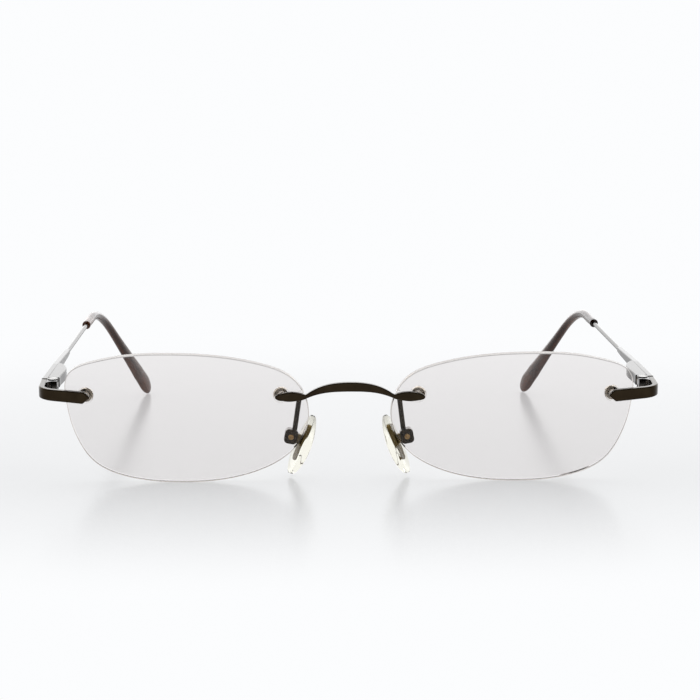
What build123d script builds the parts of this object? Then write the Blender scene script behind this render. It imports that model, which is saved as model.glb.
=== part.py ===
from build123d import *
import os
from math import sqrt

# Rimless spectacles, 53-18-130, standing open on the lens edges and the temple tips.
# X runs to the wearer's left, Y runs back from the lenses to the ear tips, Z is up.
# Left-hand pieces (+X) are built and the right-hand ones are their mirror images.

# Lenses
LENS_WIDTH = 53.2
LENS_GAP = 17.9
LENS_THICKNESS = 2.0
LENS_RADIUS = 150.0
LENS_BEVEL = 0.18
LENS_APEX_Y = -1.6
LENS_CENTRE_X = (LENS_GAP + LENS_WIDTH) / 2
# Outline of the left lens seen from the front: x outward and z up from its box centre.
LENS_OUTLINE = [
    (26.5, 6.0), (25.0, 10.6), (20.4, 12.55), (13.4, 14.0), (4.6, 14.47), (-5.7, 14.0),
    (-16.2, 12.0), (-23.2, 8.6), (-26.6, 0.9), (-23.8, -6.6), (-16.2, -11.6),
    (1.4, -14.2), (13.5, -12.9), (20.5, -9.5), (24.6, -2.8),
]

# How far the tops of the lenses lean forward, in degrees
FRONT_TILT = 5.0

# Lens mountings: a stud through a bush, with a washer and a nut behind the lens
MOUNT_Z = 4.9
TEMPLE_HOLE_X = 22.4
NOSE_HOLE_X = -20.8
STUD_RADIUS = 0.6
STUD_END = 0.3
BUSH_RADIUS = 0.92
BUSH_FLANGE_RADIUS = 1.75
BUSH_FLANGE = 0.6
BUSH_EDGE = 0.15
LENS_HOLE_RADIUS = 0.95
WASHER_RADIUS = 1.48
WASHER_THICKNESS = 0.25
NUT_RADIUS = 1.4
NUT_HEIGHT = 1.5
NUT_CROWN = 0.5
SEAT_GAP = 0.02

# Bridge
ARCH_TOP_Z = 8.5
ARCH_UNDER_Z = 6.45
ARCH_FRONT_Y = -1.5
NECK_X = 9.65
NECK_TOP_Z = 5.25
NECK_UNDER_Z = 4.35
WING_TIP_X = 16.35
# Outline of the left wing from the top of the neck, round its tip, to the underside.
WING_OUTLINE = [
    (NECK_X, NECK_TOP_Z), (11.3, 5.75), (13.2, 5.95), (15.2, 5.7), (16.1, 5.33),
    (WING_TIP_X, 4.88), (16.1, 4.47), (15.2, 4.15), (13.1, 3.83), (11.3, 3.97),
    (NECK_X, NECK_UNDER_Z),
]
BRIDGE_THICKNESS = 1.15
BRIDGE_EDGE = 0.22

# Pad arms
PAD_ARM_RADIUS = 0.56
PAD_ARM_X = 10.9
PAD_ARM_Z = 4.8
PAD_ARM_BACK_Y = 4.9
PAD_ARM_BENDS = [1.7, 0.4]
PAD_ARM_STRAIGHT = 0.4
PAD_ARM_IN_BOX = 0.1
PAD_ARM_OFF_CENTRE = 0.5
LENS_SLOT_RADIUS = 0.65
LENS_SLOT_REACH = 4.0

# Pad boxes and their screws
PAD_SCREW_X = 12.9
PAD_SCREW_Y = 6.6
PAD_SCREW_Z = -5.6
PAD_SCREW_RADIUS = 0.4
PAD_SCREW_HEAD_RADIUS = 0.62
PAD_SCREW_HEAD = 0.35
PAD_BOX_WIDTH = 2.9
PAD_BOX_HEIGHT = 3.3
PAD_BOX_DEPTH = 2.2
PAD_BOX_CORNER = 0.9
PAD_BOX_EDGE = 0.2
PAD_BOX_ROOF = 0.45
PAD_BOX_WALL = 0.35
DRIVER_SLOT_WIDTH = 0.2
DRIVER_SLOT_DEPTH = 0.16

# Nose pads and the metal cores moulded into them
PAD_LENGTH = 14.2
PAD_WIDTH = 7.0
# Half outline of a pad, as shares of its half length up and its half width back
PAD_OUTLINE = [(1, 0), (0.68, 0.74), (-0.18, 1), (-0.8, 0.66), (-1, 0)]
PAD_OUTER_FACE = 1.2
PAD_EDGE = 0.38
PAD_DOME = 1.3
PAD_DOME_RADIUS = 26.0
PAD_LEAN = 22.0
PAD_SPLAY = 12.0
PAD_TO_SCREW = 3.35
PAD_BELOW_SCREW = 0.9
CORE_LENGTH = 8.6
CORE_WIDTH = 2.0
CORE_THICKNESS = 0.6
CORE_CORNER = 0.8
CORE_RISE = 0.3
TAB_THICKNESS = 0.8
TAB_SLOT = 0.95
TAB_RADIUS = 1.05
TAB_CLEARANCE = 0.05

# End pieces
END_THICKNESS = 1.3
END_OUTER_X = 67.9
END_CORNER_RADIUS = 3.2
END_CORNER = 0.35
END_EDGE = 0.25
END_OUTLINE = [(56.4, 5.05), (57.8, 6.2), (69.0, 6.85), (69.0, 4.35), (58.1, 3.6)]

# Spring hinges: the leaf on the end piece, the screw and the slider
HINGE_X = 65.35
HINGE_Y = 9.4
HINGE_Z = 5.6
LEAF_FRONT_Y = 7.2
LEAF_INNER_X = 64.3
LEAF_SWEEP = 1.5
LEAF_SWEEP_RADIUS = 1.6
LEAF_HALF_HEIGHT = 1.3
LEAF_STEP = 0.15
BARREL_RADIUS = 1.2
BARREL_HALF_HEIGHT = 0.58
BARREL_GAP = 0.04
BARREL_CLEARANCE = 0.1
HINGE_SCREW_RADIUS = 0.6
HINGE_SCREW_CLEARANCE = 0.03
HINGE_HEAD_RADIUS = 0.92
HINGE_HEAD = 0.4
NECK_HALF_WIDTH = 0.42
NECK_LENGTH = 1.7
ROD_RADIUS = 0.42
ROD_END_Y = 10.9

# Spring housings, in the temple's own frame: origin on the hinge axis, y along the temple
HOUSING_FRONT_Y = 1.75
HOUSING_END_Y = 17.0
HOUSING_BULGE = [(-1.2, HOUSING_FRONT_Y), (-1.4, 7.5), (-1.25, 12.0), (0.2, 16.0)]
HOUSING_HALF_HEIGHT = 1.15
HOUSING_BORE_RADIUS = 0.95
HOUSING_BORE_END_Y = 12.6
COLLAR_LENGTH = 0.7
COLLAR_RADIUS = 0.85
GUIDE_LENGTH = 1.45
GUIDE_CLEARANCE = 0.05
GUIDE_FIT = 0.01
SPRING_WIRE_RADIUS = 0.12
SPRING_RADIUS = 0.68
SPRING_TURNS = 8

# Temples, in the same frame
TEMPLE_INWARD = 3.45
TEMPLE_PITCH = -0.9
SEAM_GAP = 0.2
BLADE_INNER_X = 1.25
BLADE_OUTER_X = 2.55
BLADE_FRONT_HALF = 1.22
BLADE_MIDDLE_Y = 16.0
BLADE_MIDDLE_HALF = 1.12
BLADE_TAPER_Y = 31.0
BLADE_TAPER = 0.1
BLADE_END_Y = 35.0
BLADE_END_HALF = 0.57
BLADE_EDGE = 0.2
WIRE_RADIUS = 0.5
WIRE_X = 1.9
WIRE_START_Y = 32.0
BEND_Y = 87.7
BEND_RADIUS = 28.0
TIP_END = (-7.5, 119.3, -28.5)

# Ear sleeves. Places run from 0 at the sleeve's mouth to 1 at its end.
SLEEVE_START_Y = 66.8
SLEEVE_CLEARANCE = 0.02
SLEEVE_MOUTH = 2.05
CORE_END_SHORT = 9.0
SLEEVE_BORE_PAST_CORE = 0.5
PADDLE_WIDTH = 1.9
PADDLE_HEIGHT = 4.6
SWELL_START = 0.45
SWELL_LENGTH = 0.5
ROUND_START = 0.92
ROUNDING = 0.94
TIP_SECTIONS = 14
ROUND_SECTIONS = [0.955, 0.98, 0.994, 1]

# Longer than any piece that a slab or a cut has to pass through
THROUGH = 40.0
UP = (Align.CENTER, Align.CENTER, Align.MIN)
DOWN = (Align.CENTER, Align.CENTER, Align.MAX)


def lens_depth(x, z):
    """How far the lens front curves back at (x, z) from its box centre."""
    return LENS_RADIUS - sqrt(LENS_RADIUS**2 - x**2 - z**2)


def mount_plane(x):
    """Plane on the lens front at a mounting hole, with its z axis pointing out of the front."""
    depth = lens_depth(x, MOUNT_Z)
    spot = (LENS_CENTRE_X + x, LENS_APEX_Y + depth, MOUNT_Z)
    return Plane(origin=spot, x_dir=(0, 0, 1), z_dir=(x, depth - LENS_RADIUS, MOUNT_Z))


MOUNTS = [mount_plane(TEMPLE_HOLE_X), mount_plane(NOSE_HOLE_X)]


def seat_point(hole_x, x, forward=SEAT_GAP):
    """Point at x, seen from above, on a line forward of the lens front at a mounting hole."""
    depth = lens_depth(hole_x, MOUNT_Z)
    slope = hole_x / (LENS_RADIUS - depth)
    return Vector(x, LENS_APEX_Y + depth + slope * (x - LENS_CENTRE_X - hole_x) - forward)


def from_front(face):
    """Slab with a face drawn in x and z, running through the whole depth of the front."""
    return Pos(0, THROUGH / 2, 0) * extrude(Plane.XZ * face, amount=THROUGH)


def from_above(face):
    """Slab with a face drawn in x and y, running through the whole height of the front."""
    return Pos(0, 0, -THROUGH / 2) * extrude(face, amount=THROUGH)


def behind(plane, near, far, radius):
    """Cylinder square to a mount plane, from near to far behind the lens front."""
    return plane * Pos(0, 0, -near) * Cylinder(radius, far - near, align=DOWN)


def driver_slot(top):
    """Cut for a screwdriver across a screw head whose top is at that height."""
    return Pos(0, 0, top) * Box(THROUGH, DRIVER_SLOT_WIDTH, 2 * DRIVER_SLOT_DEPTH)


def make_lens():
    blank = from_front(make_face(Spline(*LENS_OUTLINE, periodic=True)))
    centre = Pos(0, LENS_RADIUS, 0)
    lens = blank & (centre * Sphere(LENS_RADIUS))
    lens = lens - centre * Sphere(LENS_RADIUS - LENS_THICKNESS)
    lens = chamfer(lens.edges(), LENS_BEVEL)
    lens = Pos(LENS_CENTRE_X, LENS_APEX_Y, 0) * lens
    for plane in MOUNTS:
        lens = lens - behind(plane, -1, LENS_THICKNESS + 1, LENS_HOLE_RADIUS)
    slot_end = Rot(90, 0, 0) * Cylinder(LENS_SLOT_RADIUS, THROUGH)
    mouth = Pos(-LENS_SLOT_REACH / 2, 0, 0) * Box(LENS_SLOT_REACH, THROUGH, 2 * LENS_SLOT_RADIUS)
    return lens - Pos(PAD_ARM_X, 0, PAD_ARM_Z) * (slot_end + mouth)


def make_bridge():
    arch_top = ThreePointArc((-NECK_X, NECK_TOP_Z), (0, ARCH_TOP_Z), (NECK_X, NECK_TOP_Z))
    arch_under = ThreePointArc((-NECK_X, NECK_UNDER_Z), (0, ARCH_UNDER_Z), (NECK_X, NECK_UNDER_Z))
    wing = Spline(*WING_OUTLINE, tangents=[(1, 0.35), (-1, 0.42)])
    outline = make_face([arch_top, wing, arch_under, mirror(wing, about=Plane.YZ)])

    wing_places = [WING_TIP_X + 1, 15.0, 13.0, 11.0, NECK_X]
    left = [seat_point(NOSE_HOLE_X, x) for x in wing_places]
    right = [Vector(-point.X, point.Y) for point in reversed(left)]
    along_left = left[1] - left[0]
    along_right = right[-1] - right[-2]
    back = Spline(
        *left, Vector(0, ARCH_FRONT_Y), *right,
        tangents=[along_left.normalized(), along_right.normalized()],
    )
    front = Pos(0, -BRIDGE_THICKNESS, 0) * back
    ends = [Line(back @ 1, front @ 1), Line(front @ 0, back @ 0)]
    bridge = from_front(outline) & from_above(make_face([back, front] + ends))
    return fillet(bridge.edges(), BRIDGE_EDGE)


def make_endpiece():
    """Bar along the lens front that turns back to the hinge, with a pointed end."""
    half = END_THICKNESS / 2
    leg_x = END_OUTER_X - half
    inner_x = END_OUTLINE[0][0] - 1
    line = [seat_point(TEMPLE_HOLE_X, x, SEAT_GAP + half) for x in (inner_x, leg_x)]
    plan = FilletPolyline(*line, (leg_x, HINGE_Y), radius=END_CORNER_RADIUS)
    outline = make_face(Polyline(*END_OUTLINE, close=True))
    outline = fillet(outline.vertices().group_by(Axis.X)[:-1], END_CORNER)
    bar = from_above(trace(plan, END_THICKNESS)) & from_front(outline)
    return fillet(bar.edges(), END_EDGE)


def make_stud(plane):
    length = LENS_THICKNESS + BUSH_FLANGE + WASHER_THICKNESS + NUT_HEIGHT + STUD_END
    return behind(plane, 0, length, STUD_RADIUS)


def make_bush(plane):
    back = LENS_THICKNESS + SEAT_GAP
    sleeve = behind(plane, 0, back, BUSH_RADIUS)
    flange = behind(plane, back, back + BUSH_FLANGE, BUSH_FLANGE_RADIUS)
    flange = fillet(flange.edges().filter_by(GeomType.CIRCLE), BUSH_EDGE)
    return sleeve + flange - behind(plane, -1, back + BUSH_FLANGE + 1, STUD_RADIUS + SEAT_GAP)


def make_washer(plane):
    near = LENS_THICKNESS + BUSH_FLANGE + SEAT_GAP
    ring = behind(plane, near, near + WASHER_THICKNESS, WASHER_RADIUS)
    return ring - behind(plane, near - 1, near + 1, STUD_RADIUS + SEAT_GAP)


def make_nut(plane):
    near = LENS_THICKNESS + BUSH_FLANGE + WASHER_THICKNESS + SEAT_GAP
    hexagon = extrude(RegularPolygon(NUT_RADIUS, 6), amount=-NUT_HEIGHT)
    blank = Cylinder(NUT_RADIUS, NUT_HEIGHT, align=DOWN)
    crown = blank.edges().filter_by(GeomType.CIRCLE).sort_by(Axis.Z)[0]
    nut = plane * Pos(0, 0, -near) * (hexagon & fillet(crown, NUT_CROWN))
    return nut - behind(plane, near - 1, near + NUT_HEIGHT + 1, STUD_RADIUS + SEAT_GAP)


# The pad box frame: origin on the screw, z out of the front, y up along the box.
PAD_SCREW = Plane(origin=(PAD_SCREW_X, PAD_SCREW_Y, PAD_SCREW_Z), x_dir=(1, 0, 0), z_dir=(0, -1, 0))
PAD_BOX = PAD_SCREW * Rot(0, 0, PAD_LEAN / 2)


def make_pad_arm():
    top = PAD_BOX_HEIGHT / 2
    start = seat_point(NOSE_HOLE_X, PAD_ARM_X, PAD_ARM_RADIUS)
    path = FilletPolyline(
        (start.X, start.Y, PAD_ARM_Z),
        (PAD_ARM_X, PAD_ARM_BACK_Y, PAD_ARM_Z),
        (PAD_BOX * Pos(-PAD_ARM_OFF_CENTRE, top + PAD_ARM_STRAIGHT, 0)).position,
        (PAD_BOX * Pos(-PAD_ARM_OFF_CENTRE, top - PAD_ARM_IN_BOX, 0)).position,
        radius=PAD_ARM_BENDS,
    )
    arm = sweep(Plane(origin=path @ 0, z_dir=path % 0) * Circle(PAD_ARM_RADIUS), path=path)
    wing = MOUNTS[1] * Pos(0, 0, SEAT_GAP) * Box(THROUGH, THROUGH, THROUGH, align=UP)
    return arm - wing


def make_pad_box():
    face = RectangleRounded(PAD_BOX_WIDTH, PAD_BOX_HEIGHT, PAD_BOX_CORNER)
    box = Pos(0, 0, -PAD_BOX_DEPTH / 2) * extrude(face, amount=PAD_BOX_DEPTH)
    box = fillet(box.edges().filter_by(Plane.XY), PAD_BOX_EDGE)
    slot_top = PAD_BOX_HEIGHT / 2 - PAD_BOX_ROOF
    slot_outer = PAD_BOX_WIDTH / 2 - PAD_BOX_WALL
    slot = Box(THROUGH, THROUGH, TAB_SLOT, align=(Align.MAX, Align.MAX, Align.CENTER))
    box = box - Pos(slot_outer, slot_top, 0) * slot
    box = box - Cylinder(PAD_SCREW_RADIUS + SEAT_GAP, THROUGH)
    return PAD_BOX * box - make_pad_arm()


def make_pad_screw():
    shank = Cylinder(PAD_SCREW_RADIUS, PAD_BOX_DEPTH)
    head = Cylinder(PAD_SCREW_HEAD_RADIUS, PAD_SCREW_HEAD, align=UP)
    head = fillet(head.edges().group_by(Axis.Z)[-1], BUSH_EDGE)
    screw = shank + Pos(0, 0, PAD_BOX_DEPTH / 2) * head
    return PAD_SCREW * (screw - driver_slot(PAD_BOX_DEPTH / 2 + PAD_SCREW_HEAD))


# The pad frame: x out of the pad towards the lens, y back, z up along the pad.
PAD_FRAME = (
    Pos(PAD_SCREW_X, PAD_SCREW_Y, PAD_SCREW_Z)
    * Rot(0, -PAD_LEAN, 0)
    * Pos(-PAD_TO_SCREW, 0, -PAD_BELOW_SCREW)
    * Rot(0, 0, -PAD_SPLAY)
)


def make_pad_core():
    strip = Pos(CORE_THICKNESS / 2, 0, CORE_RISE) * Box(CORE_THICKNESS, CORE_WIDTH, CORE_LENGTH)
    strip = fillet(strip.edges().filter_by(Axis.X), CORE_CORNER)
    reach = PAD_TO_SCREW - CORE_THICKNESS / 2
    web = Box(reach, 2 * TAB_RADIUS, TAB_THICKNESS, align=(Align.MAX, Align.CENTER, Align.CENTER))
    tab = Cylinder(TAB_RADIUS, TAB_THICKNESS) + web
    tab = tab - Cylinder(PAD_SCREW_RADIUS + TAB_CLEARANCE, THROUGH)
    return PAD_FRAME * strip + PAD_SCREW * Rot(0, 0, PAD_LEAN) * tab


def make_nose_pad():
    rear = [(back * PAD_WIDTH / 2, up * PAD_LENGTH / 2) for up, back in PAD_OUTLINE]
    front = [(-y, z) for y, z in reversed(rear[1:-1])]
    outline = make_face(Spline(*rear, *front, periodic=True))
    slab = Pos(-THROUGH / 2, 0, 0) * extrude(Plane.YZ * outline, amount=THROUGH)
    dome = Pos(PAD_DOME_RADIUS - PAD_DOME, 0, 0) * Sphere(PAD_DOME_RADIUS)
    outer_face = (Align.MIN, Align.CENTER, Align.CENTER)
    outside = Pos(PAD_OUTER_FACE, 0, 0) * Box(THROUGH, THROUGH, THROUGH, align=outer_face)
    pad = (slab & dome) - outside
    return PAD_FRAME * fillet(pad.edges(), PAD_EDGE) - make_pad_core()


HINGE = Location((HINGE_X, HINGE_Y, HINGE_Z))
TEMPLE_FRAME = HINGE * Rot(TEMPLE_PITCH, 0, 0) * Rot(0, 0, TEMPLE_INWARD)
HINGE_BORE = HINGE * Cylinder(HINGE_SCREW_RADIUS + HINGE_SCREW_CLEARANCE, THROUGH)


def make_hinge_leaf():
    leg_x = END_OUTER_X - END_THICKNESS
    front = (HINGE_X, LEAF_FRONT_Y)
    leg_front = (leg_x, LEAF_FRONT_Y - LEAF_SWEEP)
    leg_back = (leg_x, HINGE_Y)
    footprint = make_face([
        Polyline(leg_back, (LEAF_INNER_X, HINGE_Y), (LEAF_INNER_X, LEAF_FRONT_Y), front),
        RadiusArc(front, leg_front, LEAF_SWEEP_RADIUS),
        Line(leg_front, leg_back),
    ])
    half_height = LEAF_HALF_HEIGHT - LEAF_STEP
    block = Pos(0, 0, HINGE_Z - half_height) * extrude(footprint, amount=2 * half_height)
    barrel = Cylinder(BARREL_RADIUS, 2 * LEAF_HALF_HEIGHT)
    pocket = Cylinder(BARREL_RADIUS + BARREL_CLEARANCE, 2 * (BARREL_HALF_HEIGHT + BARREL_GAP))
    seat = Pos(0, 0, LEAF_HALF_HEIGHT) * Cylinder(
        HINGE_HEAD_RADIUS + HINGE_SCREW_CLEARANCE, 2 * (HINGE_HEAD + HINGE_SCREW_CLEARANCE)
    )
    return block + HINGE * barrel - HINGE * pocket - HINGE * seat - HINGE_BORE


def make_hinge_screw():
    shank = Cylinder(HINGE_SCREW_RADIUS, 2 * LEAF_HALF_HEIGHT)
    head = Pos(0, 0, LEAF_HALF_HEIGHT) * Cylinder(HINGE_HEAD_RADIUS, HINGE_HEAD, align=DOWN)
    return HINGE * (shank + head - driver_slot(LEAF_HALF_HEIGHT))


def rod(radius, near, far):
    """Cylinder on the spring's centre line, from near to far along the temple."""
    return TEMPLE_FRAME * Pos(0, near, 0) * Rot(-90, 0, 0) * Cylinder(radius, far - near, align=UP)


def tube(inner, outer, near, far):
    return rod(outer, near, far) - rod(inner, near - 1, far + 1)


def make_hinge_slider():
    barrel = Cylinder(BARREL_RADIUS, 2 * BARREL_HALF_HEIGHT)
    neck = Pos(0, NECK_LENGTH / 2, 0) * Box(2 * NECK_HALF_WIDTH, NECK_LENGTH, 2 * NECK_HALF_WIDTH)
    tail = TEMPLE_FRAME * neck + rod(ROD_RADIUS, NECK_LENGTH / 2, ROD_END_Y)
    return HINGE * barrel + tail - HINGE_BORE


def make_spring_collar():
    return tube(ROD_RADIUS, COLLAR_RADIUS, ROD_END_Y - COLLAR_LENGTH, ROD_END_Y)


def make_rod_guide():
    outer = HOUSING_BORE_RADIUS - GUIDE_FIT
    far = HOUSING_FRONT_Y + GUIDE_LENGTH
    return tube(ROD_RADIUS + GUIDE_CLEARANCE, outer, HOUSING_FRONT_Y, far)


def make_hinge_spring():
    """Coil between the guide and the collar."""
    near = HOUSING_FRONT_Y + GUIDE_LENGTH + SPRING_WIRE_RADIUS + SEAT_GAP
    far = ROD_END_Y - COLLAR_LENGTH - SPRING_WIRE_RADIUS - SEAT_GAP
    height = far - near
    path = Helix(pitch=height / SPRING_TURNS, height=height, radius=SPRING_RADIUS)
    coil = sweep(Plane(origin=path @ 0, z_dir=path % 0) * Circle(SPRING_WIRE_RADIUS), path=path)
    return TEMPLE_FRAME * Pos(0, near, 0) * Rot(-90, 0, 0) * coil


def make_spring_housing():
    inside = Polyline(
        HOUSING_BULGE[-1], (BLADE_INNER_X, HOUSING_END_Y), (BLADE_INNER_X, HOUSING_FRONT_Y),
        HOUSING_BULGE[0],
    )
    plan = make_face([inside, Spline(*HOUSING_BULGE)])
    shell = Pos(0, 0, -HOUSING_HALF_HEIGHT) * extrude(plan, amount=2 * HOUSING_HALF_HEIGHT)
    bulge_edges = shell.edges().filter_by(GeomType.BSPLINE)
    shell = TEMPLE_FRAME * fillet(bulge_edges, BLADE_EDGE)
    return shell - rod(HOUSING_BORE_RADIUS, HOUSING_FRONT_Y - 1, HOUSING_BORE_END_Y)


def temple_path():
    start = (WIRE_X, WIRE_START_Y, 0)
    return FilletPolyline(start, (WIRE_X, BEND_Y, 0), TIP_END, radius=BEND_RADIUS)


def wire_along(path, length, radius):
    """Round bar of that length from the start of a path."""
    section = Plane(origin=path @ 0, z_dir=path % 0) * Circle(radius)
    return sweep(section, path=path.trim(0, length / path.length))


def make_temple():
    plan = make_face(Polyline(
        (BLADE_INNER_X, SEAM_GAP), (BLADE_OUTER_X, SEAM_GAP), (BLADE_OUTER_X, BLADE_TAPER_Y),
        (BLADE_OUTER_X - BLADE_TAPER, BLADE_END_Y), (BLADE_INNER_X + BLADE_TAPER, BLADE_END_Y),
        (BLADE_INNER_X, BLADE_TAPER_Y), close=True,
    ))
    top = [
        (SEAM_GAP, BLADE_FRONT_HALF), (BLADE_MIDDLE_Y, BLADE_MIDDLE_HALF),
        (BLADE_END_Y, BLADE_END_HALF),
    ]
    under = [(y, -z) for y, z in reversed(top)]
    side = make_face(Polyline(*top, *under, close=True))
    blade = from_above(plan) & extrude(Plane.YZ * side, amount=THROUGH)
    blade = fillet(blade.edges(), BLADE_EDGE)
    path = temple_path()
    return TEMPLE_FRAME * (blade + wire_along(path, path.length - CORE_END_SHORT, WIRE_RADIUS))


def tip_size(place):
    """Thickness and height of the ear sleeve at a place from 0 at its mouth to 1 at its end."""
    swell = min(max((place - SWELL_START) / SWELL_LENGTH, 0), 1)
    swell = swell**2 * (3 - 2 * swell)
    width = SLEEVE_MOUTH + (PADDLE_WIDTH - SLEEVE_MOUTH) * swell
    height = SLEEVE_MOUTH + (PADDLE_HEIGHT - SLEEVE_MOUTH) * swell
    into_end = max((place - ROUND_START) / (1 - ROUND_START), 0)
    rounding = sqrt(1 - ROUNDING * into_end**2)
    return width * rounding, height * rounding


def make_temple_tip():
    path = temple_path()
    start = (SLEEVE_START_Y - WIRE_START_Y) / path.length
    even = [step / TIP_SECTIONS for step in range(TIP_SECTIONS)]
    sections = []
    for place in even + ROUND_SECTIONS:
        width, height = tip_size(place)
        spot = start + (1 - start) * place
        along = path % spot
        plane = Plane(origin=path @ spot, x_dir=along.cross(Vector(0, 0, 1)), z_dir=along)
        sections.append(plane * Ellipse(width / 2, height / 2))
    bore_length = path.length - CORE_END_SHORT + SLEEVE_BORE_PAST_CORE
    bore = wire_along(path, bore_length, WIRE_RADIUS + SLEEVE_CLEARANCE)
    return TEMPLE_FRAME * (loft(sections) - bore)


def mirrored(shape):
    return mirror(shape, about=Plane.YZ)


def standing_place(lens, bridge, tip):
    """Where the leaning front stands: lenses on the ground, centred from bridge to tips."""
    lean = Rot(FRONT_TILT, 0, 0)
    front_y = (lean * bridge).bounding_box().min.Y
    rear_y = (lean * tip).bounding_box().max.Y
    ground = (lean * lens).bounding_box().min.Z
    return Pos(0, -(front_y + rear_y) / 2, -ground) * lean


SIDED = {
    "lens": make_lens,
    "endpiece": make_endpiece,
    "hinge_leaf": make_hinge_leaf,
    "hinge_screw": make_hinge_screw,
    "hinge_slider": make_hinge_slider,
    "spring_collar": make_spring_collar,
    "rod_guide": make_rod_guide,
    "hinge_spring": make_hinge_spring,
    "spring_housing": make_spring_housing,
    "temple": make_temple,
    "temple_tip": make_temple_tip,
    "pad_arm": make_pad_arm,
    "pad_box": make_pad_box,
    "pad_screw": make_pad_screw,
    "pad_core": make_pad_core,
    "nose_pad": make_nose_pad,
}
MOUNTED = {
    "endpiece_studs": (make_stud, MOUNTS[:1]),
    "bridge_studs": (make_stud, MOUNTS[1:]),
    "lens_bushes": (make_bush, MOUNTS),
    "lens_washers": (make_washer, MOUNTS),
    "lens_nuts": (make_nut, MOUNTS),
}

nodes = {"bridge": [make_bridge()]}
for name, make in SIDED.items():
    piece = make()
    nodes["left_" + name] = [piece]
    nodes["right_" + name] = [mirrored(piece)]
for name, (make, planes) in MOUNTED.items():
    pieces = [make(plane) for plane in planes]
    nodes[name] = pieces + [mirrored(piece) for piece in pieces]

standing = standing_place(nodes["left_lens"][0], nodes["bridge"][0], nodes["left_temple_tip"][0])
os.makedirs("parts", exist_ok=True)
for name, pieces in nodes.items():
    solids = [standing * solid for piece in pieces for solid in piece.solids()]
    node = solids[0] if len(solids) == 1 else Compound(children=solids)
    export_step(node, os.path.join("parts", name + ".step"))
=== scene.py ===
import math

import bmesh
import bpy
from mathutils import Matrix, Vector


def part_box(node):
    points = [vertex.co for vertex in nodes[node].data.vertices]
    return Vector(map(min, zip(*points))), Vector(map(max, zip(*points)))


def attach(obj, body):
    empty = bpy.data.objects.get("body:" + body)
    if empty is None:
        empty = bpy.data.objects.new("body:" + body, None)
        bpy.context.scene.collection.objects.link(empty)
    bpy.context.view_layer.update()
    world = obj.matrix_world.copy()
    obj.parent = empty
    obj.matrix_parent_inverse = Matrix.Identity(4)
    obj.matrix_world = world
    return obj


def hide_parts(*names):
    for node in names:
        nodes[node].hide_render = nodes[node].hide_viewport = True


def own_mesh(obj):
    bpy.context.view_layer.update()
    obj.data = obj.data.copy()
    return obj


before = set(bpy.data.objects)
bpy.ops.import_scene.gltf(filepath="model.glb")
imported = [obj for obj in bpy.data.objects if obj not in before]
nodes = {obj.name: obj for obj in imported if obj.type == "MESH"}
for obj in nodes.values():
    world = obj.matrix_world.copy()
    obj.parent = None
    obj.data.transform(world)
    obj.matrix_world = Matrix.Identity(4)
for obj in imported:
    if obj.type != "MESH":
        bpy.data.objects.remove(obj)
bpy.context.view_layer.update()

MM = 0.001
SIDES = {"left": 1, "right": -1}

# Driving dimensions shared with the CAD part, in millimetres and degrees
FRONT_TILT = 5.0
PAD_LEAN = 22.0
PAD_SPLAY = 12.0
PAD_LENGTH = 14.2
PAD_WIDTH = 7.0
PAD_OUTER_FACE = 1.2
PAD_DOME = 1.3
PAD_DOME_RADIUS = 26.0
PAD_TO_SCREW = 3.35
PAD_BELOW_SCREW = 0.9

# How a soft pad is moulded, in millimetres where it is a length
PAD_ROLL = 0.4  # 1 rolls the edge into an ellipse, 0 leaves it square
PAD_EGG = 0.12  # the share by which it is narrower near its top and wider near its foot
PAD_RIM = 0.45  # least half thickness
PAD_BOSS = 0.25  # height of the boss round the tab
PAD_BOSS_RADIUS = 1.7
PAD_BOSS_EDGE = 4  # the higher, the steeper the boss's side
PAD_SLICES = 28
PAD_AROUND = 48

# Most of a noise's values lie between these
NOISE_LOW = 0.3
NOISE_HIGH = 0.7

# Metals: spots per metre in their tone and in their grain, and the grain's depth in metres
TONE_SPOTS = 350
GRAIN_SPOTS = 5200
GRAIN_DEPTH = 6e-6

# Clear plastics: spots per metre in the tone drift, and how much paler it gets
DRIFT_SPOTS = 25
DRIFT_PALER = 1.008
PLASTIC_ROUGHNESS = 0.03

# Lens glass. A surface is ground rim where its normal's depth is under the first and polished over the second
RIM_ENDS = 0.6
FACE_STARTS = 0.8
LENS_TINT = (0.87, 0.85, 0.845)
LENS_RIM_TINT = (0.36, 0.30, 0.25)
LENS_RIM_ROUGHNESS = 0.22
LENS_IOR = 1.3
LENS_SPECULAR = 0.2

# Acetate: its streaks as places on a noise and colours, spots per metre, and wear depth in metres
ACETATE_STREAKS = [
    (0.3, (0.04, 0.012, 0.006)),
    (0.55, (0.11, 0.036, 0.015)),
    (0.75, (0.34, 0.12, 0.042)),
]
STREAK_SPOTS = 120
STREAK_STRETCH = (1, 0.25, 0.25)
GLOSS_SPOTS = 900
WEAR_SPOTS = 400
WEAR_DEPTH = 4e-5

# Table, in metres. An oval round the object shows its lit surface, darker than the glow, as painted shade
# round the object, and beyond that it glows white
TABLE_RADIUS = 8.0
TABLE_SEGMENTS = 96
TABLE_COLOUR = (0.37, 0.37, 0.375, 1)
TABLE_ROUGHNESS = 0.2
TABLE_SPECULAR = 0.12
OVAL_OFFSET = (0, -0.01, 0)
OVAL_SCALE = (0.45, 1, 1)
OVAL_START = 0.06
OVAL_END = 0.18
GLOW_INSIDE = 0.45
GLOW_OUTSIDE = 1.0

# Light, as radiance: 1 is the white that the camera sees around the object
WHITE = (0.972, 0.98, 0.99, 1)
SEEN = 1.0
LIT_FRONT = 0.15
LIT_BACK = 0.8
MIRRORED_FRONT = 0.08
MIRRORED_BACK = 2.2

# Key softbox: place and size in metres, power in watts
KEY_PLACE = (0.05, 0.2, 0.6)
KEY_SIZE = (0.8, 0.6)
KEY_POWER = 1.8


# Materials

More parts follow.
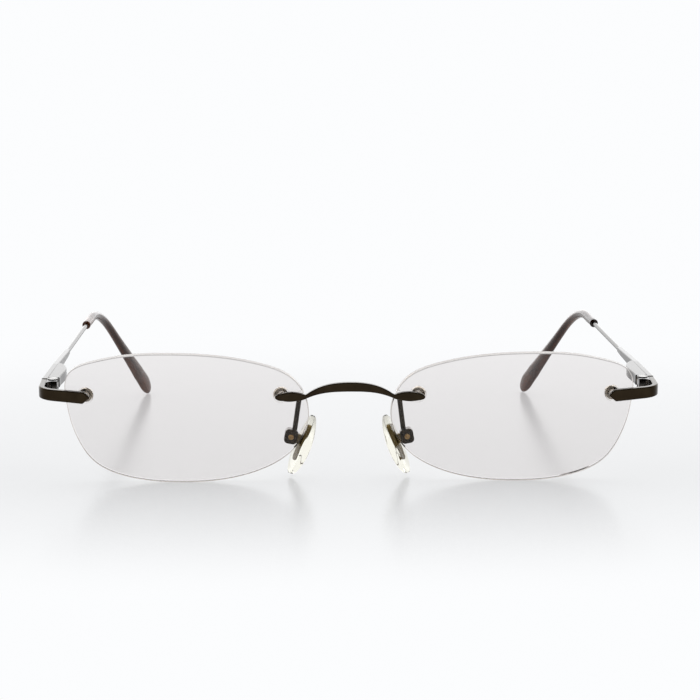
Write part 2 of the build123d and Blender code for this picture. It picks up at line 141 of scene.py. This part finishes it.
def new_material(name):
    """A material and its Principled shader."""
    material = bpy.data.materials.new(name)
    material.use_nodes = True
    return material, material.node_tree.nodes["Principled BSDF"]


def add_to(tree, kind, inputs=None, **settings):
    """A new shader node with its settings, and its inputs given as values or linked to sockets."""
    node = tree.nodes.new(kind)
    for key, value in settings.items():
        setattr(node, key, value)
    for key, value in (inputs or {}).items():
        if isinstance(value, bpy.types.NodeSocket):
            tree.links.new(value, node.inputs[key])
        else:
            node.inputs[key].default_value = value
    return node


def add(material, kind, inputs=None, **settings):
    """A new shader node in a material."""
    return add_to(material.node_tree, kind, inputs, **settings)


def link(material, source, target):
    material.node_tree.links.new(source, target)


def noise(material, scale, detail, stretch=(1, 1, 1)):
    """Noise in the object's own coordinates, with about scale spots per metre."""
    place = add(material, "ShaderNodeTexCoord").outputs["Object"]
    squeezed = add(material, "ShaderNodeMapping", {"Vector": place, "Scale": stretch})
    texture = add(material, "ShaderNodeTexNoise", {
        "Vector": squeezed.outputs["Vector"], "Scale": scale, "Detail": detail, "Roughness": 0.6,
    })
    return texture.outputs["Fac"]


def ramp(material, source, stops):
    """Colours blended along a 0 to 1 value. stops is a list of (place, colour)."""
    node = add(material, "ShaderNodeValToRGB", {"Fac": source})
    elements = node.color_ramp.elements
    while len(elements) < len(stops):
        elements.new(0.5)
    for element, (place, colour) in zip(elements, stops):
        element.position = place
        element.color = (*colour, 1)
    return node.outputs["Color"]


def spread(material, source, low, high):
    """A noise stretched so that most of it lies between low and high."""
    return add(material, "ShaderNodeMapRange", {
        "Value": source, "From Min": NOISE_LOW, "From Max": NOISE_HIGH, "To Min": low, "To Max": high,
    }).outputs["Result"]


def bump(material, shader, source, depth, strength=0.4):
    node = add(material, "ShaderNodeBump", {
        "Height": source, "Strength": strength, "Distance": depth,
    })
    link(material, node.outputs["Normal"], shader.inputs["Normal"])


def metal(name, dark, light, roughness, grain=(1, 1, 1), metallic=1.0):
    """Plated metal: a fine tone variation, uneven gloss and a faint grain."""
    material, shader = new_material(name)
    broad = noise(material, TONE_SPOTS, 4)
    fine = noise(material, GRAIN_SPOTS, 2, grain)
    tone = ramp(material, broad, [(NOISE_LOW, dark), (NOISE_HIGH, light)])
    link(material, tone, shader.inputs["Base Color"])
    link(material, spread(material, broad, *roughness), shader.inputs["Roughness"])
    bump(material, shader, fine, GRAIN_DEPTH)
    shader.inputs["Metallic"].default_value = metallic
    return material


def clear_material(name, ior):
    """A see-through material and its shader, with no colour yet."""
    material, shader = new_material(name)
    shader.inputs["Transmission Weight"].default_value = 1.0
    shader.inputs["IOR"].default_value = ior
    return material, shader


def clear_plastic(name, tint, ior):
    """Clear plastic with a faint tone drift across it."""
    material, shader = clear_material(name, ior)
    drift = noise(material, DRIFT_SPOTS, 1)
    paler = tuple(min(1, value * DRIFT_PALER) for value in tint)
    tone = ramp(material, drift, [(NOISE_LOW, tint), (NOISE_HIGH, paler)])
    link(material, tone, shader.inputs["Base Color"])
    shader.inputs["Roughness"].default_value = PLASTIC_ROUGHNESS
    return material


def lens_material():
    """Polished clear glass whose ground rim is satin and darker."""
    material, shader = clear_material("lens_glass", LENS_IOR)
    shader.inputs["Specular IOR Level"].default_value = LENS_SPECULAR
    facing = add(material, "ShaderNodeTexCoord").outputs["Normal"]
    split = add(material, "ShaderNodeSeparateXYZ", {"Vector": facing})
    depth = add(material, "ShaderNodeMath", {0: split.outputs["Y"]}, operation="ABSOLUTE").outputs[0]
    roughness = add(material, "ShaderNodeMapRange", {
        "Value": depth, "From Min": RIM_ENDS, "From Max": FACE_STARTS,
        "To Min": LENS_RIM_ROUGHNESS, "To Max": 0.0,
    }).outputs["Result"]
    tone = ramp(material, depth, [(RIM_ENDS, LENS_RIM_TINT), (FACE_STARTS, LENS_TINT)])
    link(material, roughness, shader.inputs["Roughness"])
    link(material, tone, shader.inputs["Base Color"])
    return material


def acetate_material():
    """Dark brown acetate that lets some light through, with warmer streaks along it."""
    material, shader = new_material("tip_acetate")
    streak = noise(material, STREAK_SPOTS, 4, STREAK_STRETCH)
    gloss = noise(material, GLOSS_SPOTS, 3)
    wear = noise(material, WEAR_SPOTS, 2)
    link(material, ramp(material, streak, ACETATE_STREAKS), shader.inputs["Base Color"])
    link(material, spread(material, gloss, 0.08, 0.2), shader.inputs["Roughness"])
    bump(material, shader, wear, WEAR_DEPTH, strength=0.25)
    shader.inputs["Transmission Weight"].default_value = 0.7
    shader.inputs["Specular IOR Level"].default_value = 0.12
    shader.inputs["IOR"].default_value = 1.5
    return material


dark_metal = metal(
    "dark_metal", dark=(0.024, 0.017, 0.010), light=(0.036, 0.026, 0.015), roughness=(0.16, 0.25)
)
# The same dark metal as above, smoother and lighter, for the temples, hinge leaves and spring housings: the
# lighter colour is painted sheen standing in for their bright grazing reflections
sheen_painted_dark_metal = metal(
    "sheen_painted_dark_metal", dark=(0.05, 0.045, 0.042), light=(0.075, 0.068, 0.062), roughness=(0.12, 0.2)
)
silver = metal(
    "silver", dark=(0.44, 0.36, 0.26), light=(0.74, 0.66, 0.55), roughness=(0.2, 0.36), metallic=0.6
)
brass = metal(
    "brass", dark=(0.30, 0.19, 0.08), light=(0.46, 0.31, 0.14), roughness=(0.24, 0.38)
)
core_brass = metal(
    "core_brass", dark=(0.085, 0.062, 0.026), light=(0.15, 0.11, 0.05), roughness=(0.3, 0.45)
)
steel = metal(
    "steel", dark=(0.30, 0.29, 0.28), light=(0.48, 0.47, 0.46), roughness=(0.25, 0.40), grain=(1, 0.1, 1)
)
lens_glass = lens_material()
bush_plastic = clear_plastic("bush_plastic", tint=(0.95, 0.95, 0.94), ior=1.35)
pad_silicone = clear_plastic("pad_silicone", tint=(0.965, 0.945, 0.85), ior=1.14)
tip_acetate = acetate_material()

FINISHES = {
    "bridge": dark_metal,
    "endpiece": dark_metal,
    "hinge_leaf": sheen_painted_dark_metal,
    "hinge_screw": steel,
    "hinge_slider": steel,
    "spring_collar": steel,
    "rod_guide": brass,
    "hinge_spring": steel,
    "spring_housing": sheen_painted_dark_metal,
    "temple": sheen_painted_dark_metal,
    "temple_tip": tip_acetate,
    "pad_arm": dark_metal,
    "pad_box": dark_metal,
    "pad_screw": brass,
    "pad_core": core_brass,
    "nose_pad": pad_silicone,
    "lens": lens_glass,
    "bridge_studs": steel,
    "endpiece_studs": steel,
    "lens_bushes": bush_plastic,
    "lens_washers": silver,
    "lens_nuts": silver,
}


def kind_of(node):
    """A node's name without its side."""
    return node.removeprefix("left_").removeprefix("right_")


for node_name, node_object in nodes.items():
    node_object.data.materials.clear()
    node_object.data.materials.append(FINISHES[kind_of(node_name)])


# Nose pads: soft mouldings with a domed bearing face, a rolled rim and a boss round the tab

def pad_frame(sign):
    """Where a pad lies: x out towards its lens, y back, z up along the pad."""
    low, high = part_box("left_pad_screw")
    screw = (low + high) / 2
    screw.x *= sign
    hand = Matrix.Diagonal((sign, 1, 1, 1))
    lean = Matrix.Rotation(math.radians(-PAD_LEAN), 4, "Y")
    splay = Matrix.Rotation(math.radians(-PAD_SPLAY), 4, "Z")
    offset = Matrix.Translation(Vector((-PAD_TO_SCREW, 0, -PAD_BELOW_SCREW)) * MM)
    tilt = Matrix.Rotation(math.radians(FRONT_TILT), 4, "X")
    return Matrix.Translation(screw) @ hand @ tilt @ lean @ offset @ splay


def pad_point(turn, slice_turn):
    """Point on the pad: turn goes round its outline, slice_turn from the dome to the outer face."""
    share = abs(math.sin(slice_turn)) ** PAD_ROLL
    through = math.copysign(abs(math.cos(slice_turn)) ** PAD_ROLL, math.cos(slice_turn))
    y = share * PAD_WIDTH / 2 * math.sin(turn) * (1 - PAD_EGG * math.cos(turn))
    z = share * PAD_LENGTH / 2 * math.cos(turn)
    reach = math.hypot(y, z)
    dome = reach**2 / (2 * PAD_DOME_RADIUS) - PAD_DOME
    boss = PAD_BOSS * math.exp(-((reach / PAD_BOSS_RADIUS) ** PAD_BOSS_EDGE))
    middle = (dome + PAD_OUTER_FACE) / 2
    half = max((PAD_OUTER_FACE - dome) / 2, PAD_RIM)
    x = middle - half * through + (boss if through < 0 else 0)
    return Vector((x, y, z)) * MM


def add_pad_ring(pad, slice_turn):
    """One ring of vertices round the pad."""
    turns = [2 * math.pi * step / PAD_AROUND for step in range(PAD_AROUND)]
    return [pad.verts.new(pad_point(turn, slice_turn)) for turn in turns]


def make_nose_pad(side, sign):
    mesh = bpy.data.meshes.new(side + "_soft_pad")
    pad = bmesh.new()
    rings = [add_pad_ring(pad, math.pi * step / PAD_SLICES) for step in range(1, PAD_SLICES)]
    for ring, following in zip(rings, rings[1:]):
        for k in range(PAD_AROUND):
            after = (k + 1) % PAD_AROUND
            pad.faces.new((ring[k], ring[after], following[after], following[k]))
    for ring, slice_turn in ((rings[0], 0), (rings[-1], math.pi)):
        centre = pad.verts.new(pad_point(0, slice_turn))
        for k in range(PAD_AROUND):
            pad.faces.new((ring[k], ring[(k + 1) % PAD_AROUND], centre))
    pad.transform(pad_frame(sign))
    bmesh.ops.recalc_face_normals(pad, faces=pad.faces)
    pad.to_mesh(mesh)
    pad.free()
    mesh.shade_smooth()
    mesh.materials.append(pad_silicone)
    piece = bpy.data.objects.new(side + "_soft_pad", mesh)
    bpy.context.scene.collection.objects.link(piece)
    smooth = piece.modifiers.new("smooth", "SUBSURF")
    smooth.levels = smooth.render_levels = 1
    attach(piece, side + "_nose_pad")
    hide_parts(side + "_nose_pad")


for side, sign in SIDES.items():
    make_nose_pad(side, sign)


# Hinge springs: each is a copy of its CAD spring that moves with its temple

def make_coil(side):
    node = side + "_hinge_spring"
    coil = bpy.data.objects.new(side + "_coil", nodes[node].data.copy())
    bpy.context.scene.collection.objects.link(coil)
    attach(coil, side + "_temple")
    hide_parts(node)
    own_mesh(coil)


for side in SIDES:
    make_coil(side)


# Stage: a pale glossy table that fades into a bright surround, and soft light

def make_table_material():
    """A lit glossy surface near the object, darkened there as painted shade, that fades to a white glow away
    from it.
    """
    material, shader = new_material("table")
    shader.inputs["Base Color"].default_value = TABLE_COLOUR
    shader.inputs["Roughness"].default_value = TABLE_ROUGHNESS
    shader.inputs["Specular IOR Level"].default_value = TABLE_SPECULAR
    place = add(material, "ShaderNodeTexCoord").outputs["Object"]
    oval = add(material, "ShaderNodeMapping", {
        "Vector": place, "Location": OVAL_OFFSET, "Scale": OVAL_SCALE,
    }).outputs["Vector"]
    distance = add(material, "ShaderNodeVectorMath", {0: oval}, operation="LENGTH").outputs["Value"]
    # Painted shade: less glow within the oval darkens the table round the object
    fade = add(material, "ShaderNodeMapRange", {
        "Value": distance, "From Min": OVAL_START, "From Max": OVAL_END,
        "To Min": GLOW_INSIDE, "To Max": GLOW_OUTSIDE,
    }, interpolation_type="SMOOTHSTEP").outputs["Result"]
    glow = add(material, "ShaderNodeEmission", {"Color": WHITE, "Strength": SEEN})
    blend = add(material, "ShaderNodeMixShader", {
        0: fade, 1: shader.outputs[0], 2: glow.outputs[0],
    })
    link(material, blend.outputs[0], material.node_tree.nodes["Material Output"].inputs["Surface"])
    return material


def make_floor():
    mesh = bpy.data.meshes.new("floor")
    table = bmesh.new()
    bmesh.ops.create_circle(table, cap_ends=True, radius=TABLE_RADIUS, segments=TABLE_SEGMENTS)
    table.to_mesh(mesh)
    table.free()
    floor = bpy.data.objects.new("floor", mesh)
    bpy.context.scene.collection.objects.link(floor)
    mesh.materials.append(make_table_material())


def make_surround():
    """White to the camera and through clear pieces. Otherwise dim in front and bright behind."""
    world = bpy.data.worlds.new("surround")
    world.use_nodes = True
    tree = world.node_tree
    tree.nodes.clear()
    direction = add_to(tree, "ShaderNodeTexCoord").outputs["Generated"]
    depth = add_to(tree, "ShaderNodeSeparateXYZ", {0: direction}).outputs["Y"]
    ray = add_to(tree, "ShaderNodeLightPath").outputs

    def from_front_to_back(start, end, front, back):
        """A strength for each direction, whose depth is -1 straight in front and 1 straight behind."""
        return add_to(tree, "ShaderNodeMapRange", {
            "Value": depth, "From Min": start, "From Max": end, "To Min": front, "To Max": back,
        }, interpolation_type="SMOOTHSTEP").outputs["Result"]

    lit = from_front_to_back(-0.9, 0.2, LIT_FRONT, LIT_BACK)
    mirrored = from_front_to_back(-0.4, 0.6, MIRRORED_FRONT, MIRRORED_BACK)
    strength = add_to(tree, "ShaderNodeMix", {0: ray["Is Glossy Ray"], 2: lit, 3: mirrored}).outputs[0]
    for seen in ("Is Camera Ray", "Is Transmission Ray"):
        strength = add_to(tree, "ShaderNodeMix", {0: ray[seen], 2: strength, 3: SEEN}).outputs[0]
    background = add_to(tree, "ShaderNodeBackground", {"Color": WHITE, "Strength": strength})
    add_to(tree, "ShaderNodeOutputWorld", {"Surface": background.outputs[0]})
    bpy.context.scene.world = world


def make_softbox(name, place, size, power):
    """A soft rectangular light that points at the object's origin."""
    light = bpy.data.lights.new(name, "AREA")
    light.shape = "RECTANGLE"
    light.size, light.size_y = size
    light.energy = power
    lamp = bpy.data.objects.new(name, light)
    lamp.location = place
    lamp.rotation_mode = "QUATERNION"
    lamp.rotation_quaternion = (-Vector(place)).to_track_quat("-Z", "Y")
    bpy.context.scene.collection.objects.link(lamp)


def make_camera():
    """A long lens a little above the table, looking at the front."""
    target = Vector((0, -63.56, 14.0)) * MM
    distance = 520 * MM
    nearest_seen = 10 * MM
    elevation = math.radians(9.4)
    pitch = math.radians(7.74)
    round_to_right = math.radians(1.7)
    camera_data = bpy.data.cameras.new("camera")
    camera_data.sensor_width = 36
    camera_data.lens = 122.5
    camera_data.clip_start = nearest_seen
    camera = bpy.data.objects.new("camera", camera_data)
    back = Vector((0, -math.cos(elevation), math.sin(elevation)))
    turn = Matrix.Rotation(-round_to_right, 3, "Z")
    camera.location = target + distance * (turn @ back)
    camera.rotation_euler = (math.pi / 2 - pitch, 0, -round_to_right)
    bpy.context.scene.collection.objects.link(camera)
    bpy.context.scene.camera = camera


make_floor()
make_surround()
make_softbox("key_softbox", KEY_PLACE, KEY_SIZE, KEY_POWER)
make_camera()
bpy.context.scene.view_settings.view_transform = "Standard"
